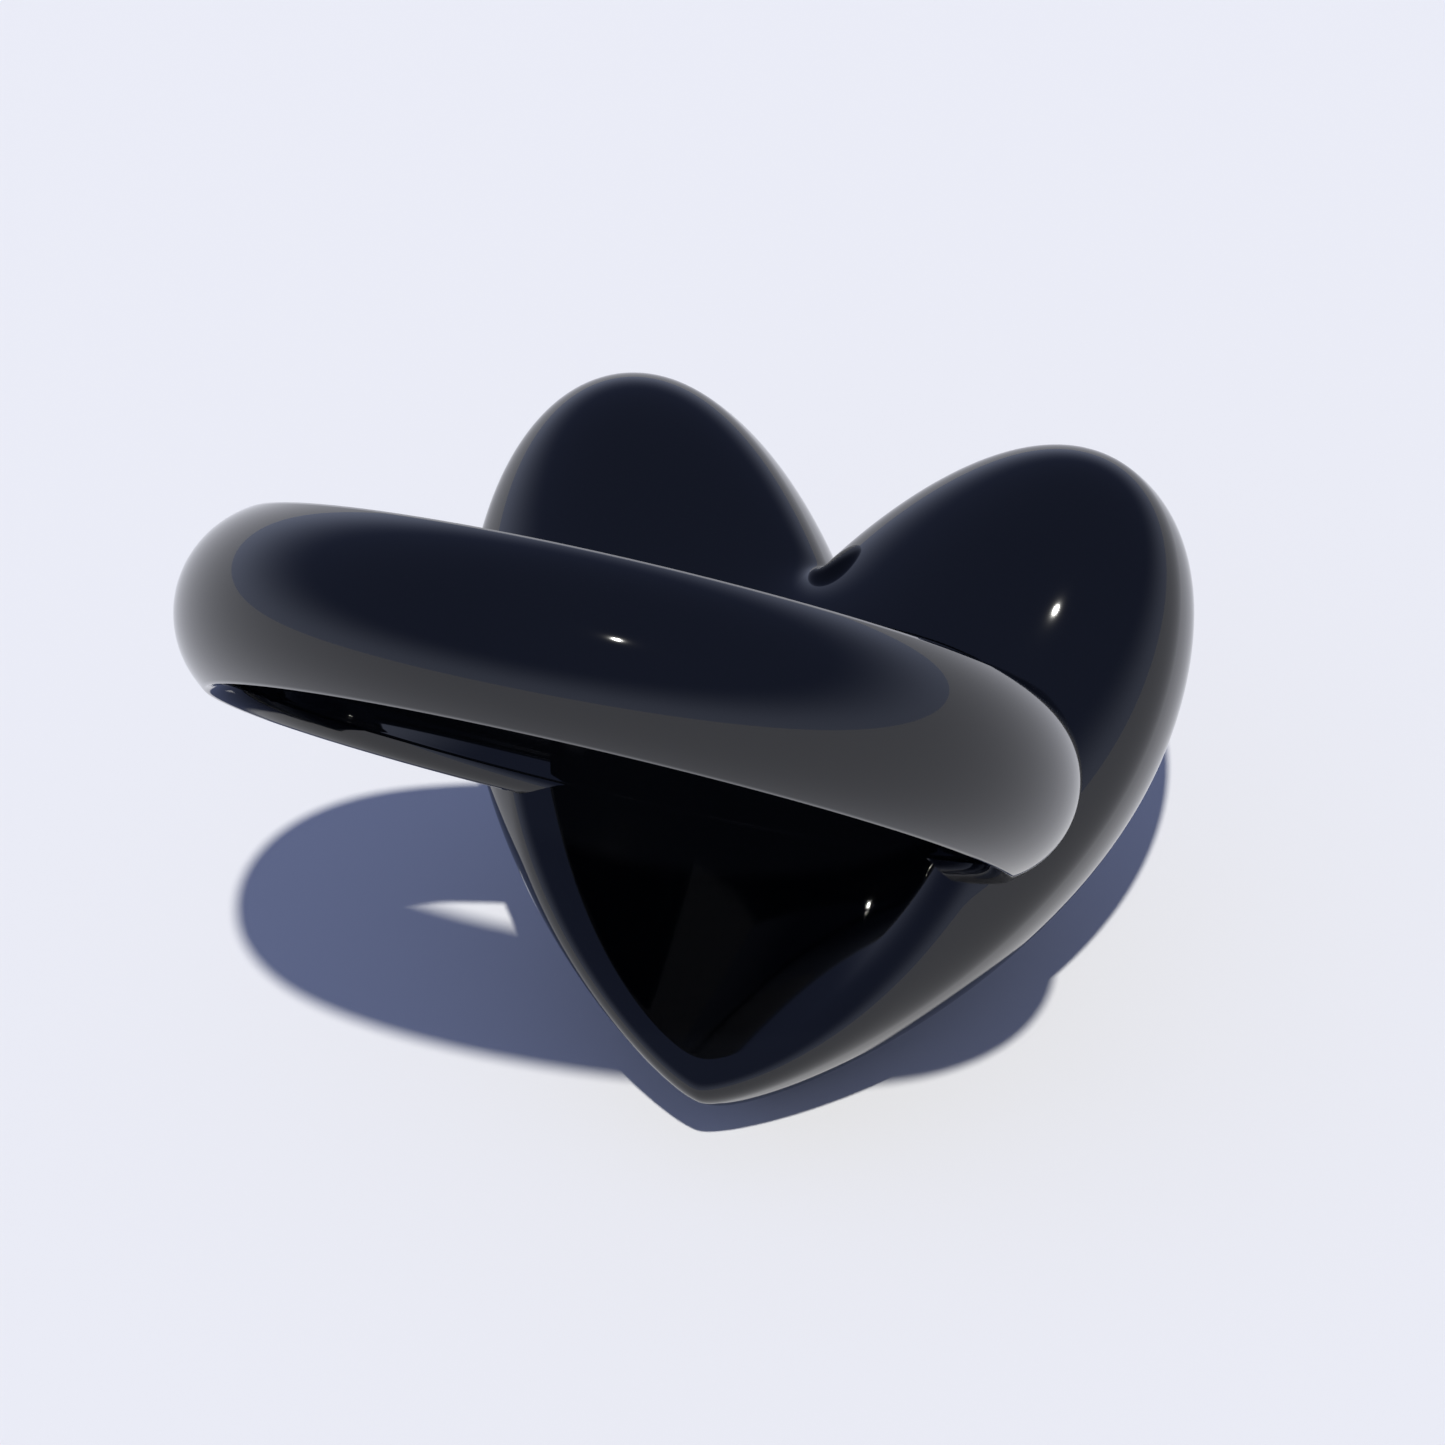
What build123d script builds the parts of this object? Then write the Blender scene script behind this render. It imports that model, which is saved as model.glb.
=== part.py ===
"""A heart-headed finger ring: a D-section hoop set in the back of a puffed heart.

It lies heart down, tipped towards the heart's tip, as a loose ring comes to rest.
The ring's own frame has x across the heart, y along the finger from tip to notch,
and z from the heart to the crown of the hoop; its origin is the centre of the bore.
"""

import os
from math import cos, radians, sin, sqrt

from build123d import *

# How the ring lies
rest_tilt = 37.0

# Hoop
finger_bore = 17.4
hoop_width = 4.0
hoop_crown = 1.45
hoop_edge = 0.35
land_width = 2.8
edge_round = 0.12

# Heart outline, at its widest level
heart_half_width = 8.9
heart_tip_y = -8.15
heart_lobe_y = 8.5
heart_notch_y = 4.7
heart_lobe_x = 5.5
heart_tip_radius = 1.2
widest_below_lobe = 4.8
side_fullness = 1.06
side_pull = 0.55
round_pull = 0.6
lobe_pull = 0.6
notch_pull = 0.2
notch_rise = 0.4

# Heart depths, from the finger's bore and the hoop
waist_below_bore = 0.1
seam_in_hoop = 0.45
front_puff = 5.8
back_puff = 3.2
front_edge = 6.4
back_edge = 4.4

# Where it touches what it lies on, below the bore, as it lies
rest_below_bore = 5.0

# Fits
saddle_clearance = 0.02
finger_relief = 0.25
pin_diameter = 0.8
pin_length = 1.3
pin_spacing = 4.4
pin_clearance = 0.01
pin_in_hoop = 0.6

# Heights of the cross sections through each puff, as shares of it
front_steps = (0, 0.2, 0.4, 0.6, 0.8, 0.93, 0.99)
back_steps = (0, 0.3, 0.55, 0.75, 0.9, 0.97)

# Worked out from the above
bore_radius = finger_bore / 2
hoop_radius = bore_radius + hoop_crown
waist_depth = bore_radius + waist_below_bore
seam_depth = hoop_radius - seam_in_hoop
rest_height = bore_radius + rest_below_bore
heart_centre_y = (heart_tip_y + heart_lobe_y) / 2
finger_reach = heart_lobe_y - heart_tip_y
pin_x = pin_spacing / 2
pin_top = sqrt(hoop_radius**2 - pin_x**2) - pin_in_hoop

ring = Plane(
    origin=(0, 0, 0),
    x_dir=(1, 0, 0),
    z_dir=(0, -sin(radians(rest_tilt)), cos(radians(rest_tilt))),
)
bore_axis = Axis((0, 0, 0), ring.y_dir)


def level(depth):
    """The plane across the ring at a depth below the bore's centre."""
    return ring.offset(-depth)


def finger_plane(y):
    """The plane square to the finger, at a distance along it."""
    return Plane(origin=ring.from_local_coords((0, y, 0)), x_dir=ring.x_dir, z_dir=ring.y_dir)


section_plane = Plane(origin=(0, 0, 0), x_dir=ring.y_dir, z_dir=-ring.x_dir)


def hoop_section(grow):
    """The hoop's D section: a flat land inside, rounded edges and an arched outside."""
    half_width = hoop_width / 2 + grow
    half_land = land_width / 2
    edge_r = bore_radius + hoop_edge
    with BuildSketch(Plane.XY) as section:
        with BuildLine():
            Line((-half_land, bore_radius), (half_land, bore_radius))
            ThreePointArc(
                (half_land, bore_radius),
                (half_width - edge_round, bore_radius + edge_round),
                (half_width, edge_r),
            )
            ThreePointArc((half_width, edge_r), (0, hoop_radius + grow), (-half_width, edge_r))
            ThreePointArc(
                (-half_width, edge_r),
                (-half_width + edge_round, bore_radius + edge_round),
                (-half_land, bore_radius),
            )
        make_face()
    return section.sketch


def heart_outline(grow):
    """The heart's outline as a face, moved in or out from its widest line."""
    reach = (heart_half_width + grow) / heart_half_width

    def at(x, y):
        return (x * reach, heart_centre_y + (y - heart_centre_y) * reach)

    wide_y = heart_lobe_y - widest_below_lobe
    rise = heart_lobe_y - wide_y
    fall = wide_y - heart_tip_y
    shoulder_x = heart_half_width - heart_lobe_x
    dip = heart_lobe_y - heart_notch_y
    with BuildSketch(Plane.XY) as outline:
        with BuildLine():
            Bezier(
                at(0, heart_tip_y),
                at(heart_tip_radius, heart_tip_y),
                at(heart_half_width, wide_y - side_fullness * side_pull * fall),
                at(heart_half_width, wide_y),
            )
            Bezier(
                at(heart_half_width, wide_y),
                at(heart_half_width, wide_y + round_pull * rise),
                at(heart_lobe_x + round_pull * shoulder_x, heart_lobe_y),
                at(heart_lobe_x, heart_lobe_y),
            )
            Bezier(
                at(heart_lobe_x, heart_lobe_y),
                at(lobe_pull * heart_lobe_x, heart_lobe_y),
                at(notch_pull * heart_lobe_x, heart_notch_y + notch_rise * dip),
                at(0, heart_notch_y),
            )
            mirror(about=Plane.YZ)
        make_face()
    return outline.sketch


def closing(share, reach):
    """How far a puff's outline has closed in, at a share of its height."""
    return reach * (1 - sqrt(1 - share**2))


# Hoop: a band of D section, closed all round, its lower arc set in the heart
with BuildPart() as finger_hoop:
    with BuildSketch(section_plane):
        add(hoop_section(0))
    revolve(axis=bore_axis)
    with BuildSketch(level(pin_top)):
        with Locations((-pin_x, 0), (pin_x, 0)):
            Circle(pin_diameter / 2 + pin_clearance)
    extrude(amount=-pin_length, mode=Mode.SUBTRACT)

# What the hoop fills in the heart, with its clearance, and the finger's own space
with BuildPart() as hoop_saddle:
    with BuildSketch(section_plane):
        add(hoop_section(saddle_clearance))
    revolve(axis=bore_axis)

with BuildPart() as finger_space:
    with BuildSketch(finger_plane(-finger_reach)):
        Circle(bore_radius + finger_relief)
    extrude(amount=2 * finger_reach)

with BuildPart() as pin_holes:
    with BuildSketch(level(pin_top)):
        with Locations((-pin_x, 0), (pin_x, 0)):
            Circle(pin_diameter / 2 + pin_clearance)
    extrude(amount=-pin_length)

# All that lies below the surface the ring rests on
with BuildPart() as below_rest:
    with BuildSketch(Plane.XY.offset(-rest_height)):
        Rectangle(2 * finger_reach, 2 * finger_reach)
    extrude(amount=-finger_reach)

# Heart front: the puffed face, from the seam down, with a small flat where it rests
with BuildPart() as heart_front:
    for share in front_steps:
        with BuildSketch(level(seam_depth + front_puff * share)):
            add(heart_outline(-closing(share, front_edge)))
    loft()
    add(hoop_saddle.part, mode=Mode.SUBTRACT)
    add(pin_holes.part, mode=Mode.SUBTRACT)
    add(below_rest.part, mode=Mode.SUBTRACT)

# Heart back: a straight belt from the seam up to the waist, then the puff towards the finger
with BuildPart() as heart_back:
    with BuildSketch(level(seam_depth)):
        add(heart_outline(0))
    extrude(amount=seam_depth - waist_depth)
    for share in back_steps:
        with BuildSketch(level(waist_depth - back_puff * share)):
            add(heart_outline(-closing(share, back_edge)))
    loft()
    add(hoop_saddle.part, mode=Mode.SUBTRACT)
    add(finger_space.part, mode=Mode.SUBTRACT)
    add(pin_holes.part, mode=Mode.SUBTRACT)
    add(below_rest.part, mode=Mode.SUBTRACT)

# Locating pins: dowels that key the hoop to the heart under the glue
with BuildPart() as locating_pins:
    with BuildSketch(level(pin_top)):
        with Locations((-pin_x, 0), (pin_x, 0)):
            Circle(pin_diameter / 2)
    extrude(amount=-pin_length)

finger_hoop.part.label = "finger_hoop"
heart_front.part.label = "heart_front"
heart_back.part.label = "heart_back"
locating_pins.part.label = "locating_pins"

os.makedirs("parts", exist_ok=True)
for piece in (finger_hoop.part, heart_front.part, heart_back.part, locating_pins.part):
    export_step(piece, f"parts/{piece.label}.step")
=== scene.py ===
"""Looks for a gloss black heart ring lying heart down on a pale surface."""

from math import cos, hypot, pi, radians, sin

import bpy
import numpy as np
from mathutils import Matrix, Vector


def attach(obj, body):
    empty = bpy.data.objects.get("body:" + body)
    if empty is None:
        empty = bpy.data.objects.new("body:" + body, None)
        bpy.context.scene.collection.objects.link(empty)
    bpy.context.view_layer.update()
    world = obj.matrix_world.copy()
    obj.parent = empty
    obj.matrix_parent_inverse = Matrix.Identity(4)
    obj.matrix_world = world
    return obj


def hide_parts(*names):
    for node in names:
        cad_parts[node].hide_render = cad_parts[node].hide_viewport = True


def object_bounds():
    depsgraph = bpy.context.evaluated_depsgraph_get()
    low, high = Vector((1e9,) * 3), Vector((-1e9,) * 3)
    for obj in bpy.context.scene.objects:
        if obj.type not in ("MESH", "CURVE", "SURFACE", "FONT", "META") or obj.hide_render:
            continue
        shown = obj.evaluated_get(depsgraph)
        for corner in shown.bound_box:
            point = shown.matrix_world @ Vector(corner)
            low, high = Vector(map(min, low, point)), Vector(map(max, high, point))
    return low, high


MM = 0.001

# How the ring lies on its heart
REST_TILT = radians(37.0)

# Hoop, in millimetres
BORE_RADIUS = 8.7
HOOP_WIDTH = 4.0
HOOP_CROWN = 1.45
HOOP_EDGE = 0.35
LAND_WIDTH = 2.8
EDGE_ROUND = 0.12
HIDDEN_SINK = 0.02

# Heart outline at its widest level, in millimetres
HALF_WIDTH = 8.9
TIP_Y = -8.05
LOBE_Y = 8.5
NOTCH_Y = 4.7
LOBE_X = 5.5
TIP_RADIUS = 1.2
WIDEST_BELOW_LOBE = 4.8
SIDE_FULLNESS = 1.06
SIDE_PULL = 0.55
ROUND_PULL = 0.6
LOBE_PULL = 0.6
NOTCH_PULL = 0.2
NOTCH_RISE = 0.4

# Heart thickness, in millimetres: the widest level below the bore's centre, then each puff
WAIST_DEPTH = 8.8
BACK_PUFF = 1.6
FRONT_PUFF = 3.3
BLEND = 0.9
TIP_FLARE_START = 1.4
TIP_FLARE_RADIUS = 34.0
LOBE_FLARE_START = 1.95
LOBE_FLARE_RADIUS = 0.3
REST_HEIGHT = 13.7

# How finely the surfaces are divided
ROUND_STEPS = 320
LAND_STEPS = 6
EDGE_STEPS = 12
ARCH_STEPS = 48
OUTLINE_STEPS = 72
DOME_STEPS = 110

# The point the domes close in on, and the least values that keep their sums finite
DOME_MIDDLE_Y = 0.35
LEAST_GAP = 1e-7
LEAST_SQUARE = 0.01


def row_point(x, y, z):
    """A point in the ring's own frame, in millimetres, as it lies, in metres."""
    lain_y = y * cos(REST_TILT) - z * sin(REST_TILT)
    lain_z = y * sin(REST_TILT) + z * cos(REST_TILT)
    return (x * MM, lain_y * MM, lain_z * MM)


def mesh_piece(name, points, faces):
    """A smooth-shaded mesh object from points and faces."""
    mesh = bpy.data.meshes.new(name)
    mesh.from_pydata([row_point(*p) for p in points], [], faces)
    mesh.update()
    piece = bpy.data.objects.new(name, mesh)
    bpy.context.scene.collection.objects.link(piece)
    mesh.shade_smooth()
    return piece


def arc_through(first, middle, last, steps):
    """Points along the circle through three points, the last one left out."""
    ax, ay = first
    bx, by = middle
    cx, cy = last
    d = 2 * (ax * (by - cy) + bx * (cy - ay) + cx * (ay - by))
    aa, bb, cc = ax * ax + ay * ay, bx * bx + by * by, cx * cx + cy * cy
    ox = (aa * (by - cy) + bb * (cy - ay) + cc * (ay - by)) / d
    oy = (aa * (cx - bx) + bb * (ax - cx) + cc * (bx - ax)) / d
    radius = hypot(ax - ox, ay - oy)
    start = np.arctan2(ay - oy, ax - ox)
    turn = np.arctan2(cy - oy, cx - ox) - start
    half = np.arctan2(by - oy, bx - ox) - start
    turn = (turn + pi) % (2 * pi) - pi
    half = (half + pi) % (2 * pi) - pi
    if turn * half < 0:
        turn -= 2 * pi * np.sign(turn)
    angles = start + turn * np.arange(steps) / steps
    return [(ox + radius * cos(a), oy + radius * sin(a)) for a in angles]


def hoop_section():
    """The hoop's D section as points of place along the finger and radius."""
    land = LAND_WIDTH / 2
    side = HOOP_WIDTH / 2
    inner = BORE_RADIUS + HIDDEN_SINK
    edge = BORE_RADIUS + HOOP_EDGE
    turn_in = (side - EDGE_ROUND, inner + EDGE_ROUND)
    points = [(-land + 2 * land * i / LAND_STEPS, inner) for i in range(LAND_STEPS)]
    points += arc_through((land, inner), turn_in, (side, edge), EDGE_STEPS)
    points += arc_through((side, edge), (0, BORE_RADIUS + HOOP_CROWN), (-side, edge), ARCH_STEPS)
    points += arc_through((-side, edge), (-turn_in[0], turn_in[1]), (-land, inner), EDGE_STEPS)
    return points


def hoop_piece():
    """The finger hoop, revolved round the bore."""
    section = hoop_section()
    count = len(section)
    points = []
    faces = []
    for i in range(ROUND_STEPS):
        a = 2 * pi * i / ROUND_STEPS
        points += [(r * sin(a), y, r * cos(a)) for y, r in section]
        for j in range(count):
            k = (j + 1) % count
            ring, after = i * count, (i + 1) % ROUND_STEPS * count
            faces.append((ring + j, ring + k, after + k, after + j))
    return mesh_piece("polished_hoop", points, faces)


def bezier(p0, p1, p2, p3, steps):
    """Points along a cubic curve, the last one left out."""
    t = (np.arange(steps) / steps)[:, None]
    p0, p1, p2, p3 = (np.array(p, float) for p in (p0, p1, p2, p3))
    return (1 - t) ** 3 * p0 + 3 * (1 - t) ** 2 * t * p1 + 3 * (1 - t) * t**2 * p2 + t**3 * p3


def heart_outline():
    """The heart's outline at its widest level, from the tip round and back to it."""
    wide_y = LOBE_Y - WIDEST_BELOW_LOBE
    rise = LOBE_Y - wide_y
    fall = wide_y - TIP_Y
    shoulder = HALF_WIDTH - LOBE_X
    dip = LOBE_Y - NOTCH_Y
    side = bezier(
        (0, TIP_Y),
        (TIP_RADIUS, TIP_Y),
        (HALF_WIDTH, wide_y - SIDE_FULLNESS * SIDE_PULL * fall),
        (HALF_WIDTH, wide_y),
        OUTLINE_STEPS,
    )
    top = bezier(
        (HALF_WIDTH, wide_y),
        (HALF_WIDTH, wide_y + ROUND_PULL * rise),
        (LOBE_X + ROUND_PULL * shoulder, LOBE_Y),
        (LOBE_X, LOBE_Y),
        OUTLINE_STEPS,
    )
    dive = bezier(
        (LOBE_X, LOBE_Y),
        (LOBE_PULL * LOBE_X, LOBE_Y),
        (NOTCH_PULL * LOBE_X, NOTCH_Y + NOTCH_RISE * dip),
        (0, NOTCH_Y),
        OUTLINE_STEPS,
    )
    right = np.vstack([side, top, dive, [[0, NOTCH_Y]]])
    left = right[-2:0:-1] * [-1, 1]
    return np.vstack([right, left])


def inner_reach(x, y, outline):
    """A smooth measure of how far inside the outline each point is, in millimetres."""
    start = outline
    step = np.roll(outline, -1, axis=0) - start
    length = np.hypot(step[:, 0], step[:, 1])
    along = step / length[:, None]
    dx = x[:, None] - start[:, 0]
    dy = y[:, None] - start[:, 1]
    before = dx * along[:, 0] + dy * along[:, 1]
    off = np.abs(dx * along[:, 1] - dy * along[:, 0]) + LEAST_GAP
    after = length - before
    pull = after / np.hypot(after, off) + before / np.hypot(before, off)
    total = (pull / off**2).sum(axis=1)
    return np.sqrt(2 / total)


def smooth_lower(a, b, width):
    """The lower of two heights, with the corner between them rounded."""
    share = np.clip(0.5 + 0.5 * (b - a) / width, 0, 1)
    return b + (a - b) * share - width * share * (1 - share)


def finger_height(x, y):
    """The underside of the finger's space, which flares away from the hoop."""
    tip_flare = np.maximum(-y - TIP_FLARE_START, 0) ** 2 / (2 * TIP_FLARE_RADIUS)
    lobe_flare = np.maximum(y - LOBE_FLARE_START, 0) ** 2 / (2 * LOBE_FLARE_RADIUS)
    return -np.sqrt(np.maximum(BORE_RADIUS**2 - x**2, LEAST_SQUARE)) + tip_flare + lobe_flare


def heart_piece(name, back):
    """One half of the heart: a dome that closes in from the waist to its middle."""
    outline = heart_outline()
    middle = np.array([0, DOME_MIDDLE_Y])
    count = len(outline)
    rows = []
    for step in range(DOME_STEPS):
        reach = 1 - (step / DOME_STEPS) ** 2
        rows.append(middle + (outline - middle) * reach)
    flat = np.vstack(rows + [middle[None]])
    x, y = flat[:, 0], flat[:, 1]
    depth = np.zeros(len(flat))
    depth[count:] = np.sqrt(inner_reach(x[count:], y[count:], outline))
    if back:
        z = -WAIST_DEPTH + BACK_PUFF * depth
        z = smooth_lower(z, finger_height(x, y), BLEND)
    else:
        z = -WAIST_DEPTH - FRONT_PUFF * depth
        resting = -(REST_HEIGHT + y * sin(REST_TILT)) / cos(REST_TILT)
        z = -smooth_lower(-z, -resting, BLEND)
    points = np.c_[flat, z].tolist()
    faces = []
    for row in range(DOME_STEPS - 1):
        for i in range(count):
            k = (i + 1) % count
            a, b = row * count, (row + 1) * count
            faces.append((a + i, a + k, b + k, b + i))
    last = (DOME_STEPS - 1) * count
    for i in range(count):
        faces.append((last + i, last + (i + 1) % count, len(flat) - 1))
    if not back:
        faces = [f[::-1] for f in faces]
    return mesh_piece(name, points, faces)


# Materials
GLOSS_INDEX = 1.57
DEEP_BLACK = (0.0006, 0.0008, 0.0014, 1)
WORN_BLACK = (0.0012, 0.0014, 0.0020, 1)
HAZE_SCALE = 260.0
RIPPLE_SCALE = 420.0
RIPPLE_SEED_STEP = 3
GLOSS_ROUGHNESS = 0.018
HAZE_ROUGHNESS = 0.03
RIPPLE_STRENGTH = 0.02
RIPPLE_HEIGHT = 0.00002
DULL_BRASS = (0.50, 0.35, 0.12, 1)
BRIGHT_BRASS = (0.62, 0.45, 0.18, 1)
STREAK_SCALE = 900.0
BRASS_ROUGHNESS = 0.25
STREAK_ROUGHNESS = 0.15
PAPER_WHITE = (0.80, 0.80, 0.81)


class Node:
    """A socket whose operators add Math nodes to its material."""

    def __init__(self, shade, socket):
        self.shade = shade
        self.socket = socket

    def math(self, operation, *values):
        return self.shade.add("ShaderNodeMath", {"operation": operation}, *values)

    def __add__(self, other):
        return self.math("ADD", self, other)

    def __radd__(self, other):
        return self.math("ADD", other, self)

    def __sub__(self, other):
        return self.math("SUBTRACT", self, other)

    def __rsub__(self, other):
        return self.math("SUBTRACT", other, self)

    def __mul__(self, other):
        return self.math("MULTIPLY", self, other)

    def __rmul__(self, other):
        return self.math("MULTIPLY", other, self)


class Shade:
    """A material and the one method that adds its nodes."""

    def __init__(self, name, **fixed):
        self.material = bpy.data.materials.new(name)
        self.material.use_nodes = True
        self.tree = self.material.node_tree
        self.surface = self.tree.nodes["Principled BSDF"]
        for socket, value in fixed.items():
            self.surface.inputs[socket.replace("_", " ")].default_value = value

    def add(self, kind, settings, *values, output=0, **named):
        node = self.tree.nodes.new(kind)
        for key, value in settings.items():
            setattr(node, key, value)
        for key, value in [*enumerate(values), *named.items()]:
            socket = node.inputs[key.replace("_", " ") if isinstance(key, str) else key]
            if isinstance(value, Node):
                self.tree.links.new(value.socket, socket)
            else:
                socket.default_value = value
        return Node(self, node.outputs[output])

    def feed(self, socket, value):
        self.tree.links.new(value.socket, self.surface.inputs[socket])


def polished_black(name, seed):
    """Deep black moulded gloss, with the faint haze and ripple of handling."""
    shade = Shade(name, IOR=GLOSS_INDEX, Specular_IOR_Level=0.5)
    place = shade.add("ShaderNodeTexCoord", {}, output="Object")
    haze = shade.add(
        "ShaderNodeTexNoise", {"noise_dimensions": "4D"}, Vector=place, W=seed, Scale=HAZE_SCALE,
        Detail=4.0, Roughness=0.55,
    )
    ripple = shade.add(
        "ShaderNodeTexNoise", {"noise_dimensions": "4D"}, Vector=place, W=seed + RIPPLE_SEED_STEP,
        Scale=RIPPLE_SCALE, Detail=2.0, Roughness=0.4,
    )
    tint = shade.add("ShaderNodeMix", {"data_type": "RGBA"}, output=2)
    mix = tint.socket.node
    mix.inputs[6].default_value = DEEP_BLACK
    mix.inputs[7].default_value = WORN_BLACK
    shade.tree.links.new(haze.socket, mix.inputs[0])
    shade.feed("Base Color", tint)
    shade.feed("Roughness", GLOSS_ROUGHNESS + haze * HAZE_ROUGHNESS)
    bump = shade.add(
        "ShaderNodeBump", {}, Strength=RIPPLE_STRENGTH, Distance=RIPPLE_HEIGHT, Height=ripple
    )
    shade.feed("Normal", bump)
    return shade.material


def drawn_brass():
    """Brass rod, faintly streaked along its length."""
    shade = Shade("drawn_brass", Metallic=1.0)
    place = shade.add("ShaderNodeTexCoord", {}, output="Object")
    streak = shade.add(
        "ShaderNodeTexNoise", {"noise_dimensions": "3D"}, Vector=place, Scale=STREAK_SCALE, Detail=3.0
    )
    tint = shade.add("ShaderNodeMix", {"data_type": "RGBA"}, output=2)
    mix = tint.socket.node
    mix.inputs[6].default_value = DULL_BRASS
    mix.inputs[7].default_value = BRIGHT_BRASS
    shade.tree.links.new(streak.socket, mix.inputs[0])
    shade.feed("Base Color", tint)
    shade.feed("Roughness", BRASS_ROUGHNESS + streak * STREAK_ROUGHNESS)
    return shade.material


def plain_matt(name, colour):
    """A plain matt material."""
    shade = Shade(name, Base_Color=(*colour, 1), Roughness=0.9, Specular_IOR_Level=0.2)
    return shade.material


# The object
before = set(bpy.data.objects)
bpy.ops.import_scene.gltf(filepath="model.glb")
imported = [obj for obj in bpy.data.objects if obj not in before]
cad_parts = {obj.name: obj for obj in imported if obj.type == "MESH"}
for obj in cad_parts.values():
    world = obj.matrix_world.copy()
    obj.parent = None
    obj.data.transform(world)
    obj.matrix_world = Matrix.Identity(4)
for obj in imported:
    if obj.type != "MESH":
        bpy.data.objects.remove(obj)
cad_low, cad_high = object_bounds()

gloss_heart = polished_black("gloss_black_heart", 1.0)
gloss_hoop = polished_black("gloss_black_hoop", 5.0)

hoop = hoop_piece()
back = heart_piece("heart_back_dome", True)
front = heart_piece("heart_front_dome", False)
for piece, node, slot, material in (
    (hoop, "finger_hoop", "hoop_gloss", gloss_hoop),
    (back, "heart_back", "heart_gloss", gloss_heart),
    (front, "heart_front", "heart_gloss", gloss_heart),
):
    piece.data.materials.append(material)
    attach(piece, "root")
    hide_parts(node)
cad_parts["locating_pins"].data.materials.clear()
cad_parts["locating_pins"].data.materials.append(drawn_brass())

# Floor
FLOOR_SIDE = 1.6
floor_z = min(cad_low.z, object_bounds()[0].z)
floor_mesh = bpy.data.meshes.new("paper")
floor_mesh.from_pydata(
    [(sx * FLOOR_SIDE, sy * FLOOR_SIDE, floor_z) for sx, sy in ((-1, -1), (1, -1), (1, 1), (-1, 1))],
    [],
    [(0, 1, 2, 3)],
)
floor = bpy.data.objects.new("paper", floor_mesh)
floor_mesh.materials.append(plain_matt("white_paper", PAPER_WHITE))
bpy.context.scene.collection.objects.link(floor)

# Light
SUN_FROM = Vector((0.33, -0.33, 0.884))
SUN_STRENGTH = 3.15
SUN_COLOUR = (1.0, 0.985, 0.93)
SUN_WIDTH = radians(1.4)
HORIZON_COLOUR = (0.56, 0.63, 0.88, 1)
OVERHEAD_COLOUR = (0.12, 0.15, 0.29, 1)
HAZE_TOP = 0.5
sun_data = bpy.data.lights.new("key", "SUN")
sun_data.energy = SUN_STRENGTH
sun_data.color = SUN_COLOUR
sun_data.angle = SUN_WIDTH
key = bpy.data.objects.new("key", sun_data)
key.rotation_mode = "QUATERNION"
key.rotation_quaternion = SUN_FROM.to_track_quat("Z", "Y")
bpy.context.scene.collection.objects.link(key)

world = bpy.data.worlds.new("soft_fill")
bpy.context.scene.world = world
world.use_nodes = True
sky = world.node_tree
way = sky.nodes.new("ShaderNodeTexCoord")
parts = sky.nodes.new("ShaderNodeSeparateXYZ")
haze_band = sky.nodes.new("ShaderNodeValToRGB")
sky.links.new(way.outputs["Generated"], parts.inputs[0])
sky.links.new(parts.outputs["Z"], haze_band.inputs[0])
sky.links.new(haze_band.outputs[0], sky.nodes["Background"].inputs["Color"])
haze_band.color_ramp.interpolation = "EASE"
haze_band.color_ramp.elements[0].position = 0.0
haze_band.color_ramp.elements[0].color = HORIZON_COLOUR
haze_band.color_ramp.elements[1].position = HAZE_TOP
haze_band.color_ramp.elements[1].color = OVERHEAD_COLOUR

# Camera
AZIMUTH = radians(34.54)
ELEVATION = radians(41.95)
ROLL = radians(-13.71)
DISTANCE = 140.3 * MM
FIELD_SIDE = 31.676 * MM
ASIDE = 2.079 * MM
ABOVE = -0.551 * MM
SENSOR = 36.0
CLIP_NEAR = 0.01
CLIP_FAR = 20.0

back_way = Vector(
    (sin(AZIMUTH) * cos(ELEVATION), -cos(AZIMUTH) * cos(ELEVATION), sin(ELEVATION))
)
turn = back_way.to_track_quat("Z", "Y").to_matrix() @ Matrix.Rotation(ROLL, 3, "Z")
camera_data = bpy.data.cameras.new("camera")
camera_data.sensor_width = SENSOR
camera_data.lens = SENSOR * DISTANCE / FIELD_SIDE
camera_data.clip_start = CLIP_NEAR
camera_data.clip_end = CLIP_FAR
camera = bpy.data.objects.new("camera", camera_data)
camera.rotation_mode = "QUATERNION"
camera.rotation_quaternion = turn.to_quaternion()
camera.location = back_way * DISTANCE + turn @ Vector((ASIDE, ABOVE, 0))
bpy.context.scene.collection.objects.link(camera)
bpy.context.scene.camera = camera

bpy.context.scene.view_settings.view_transform = "Standard"
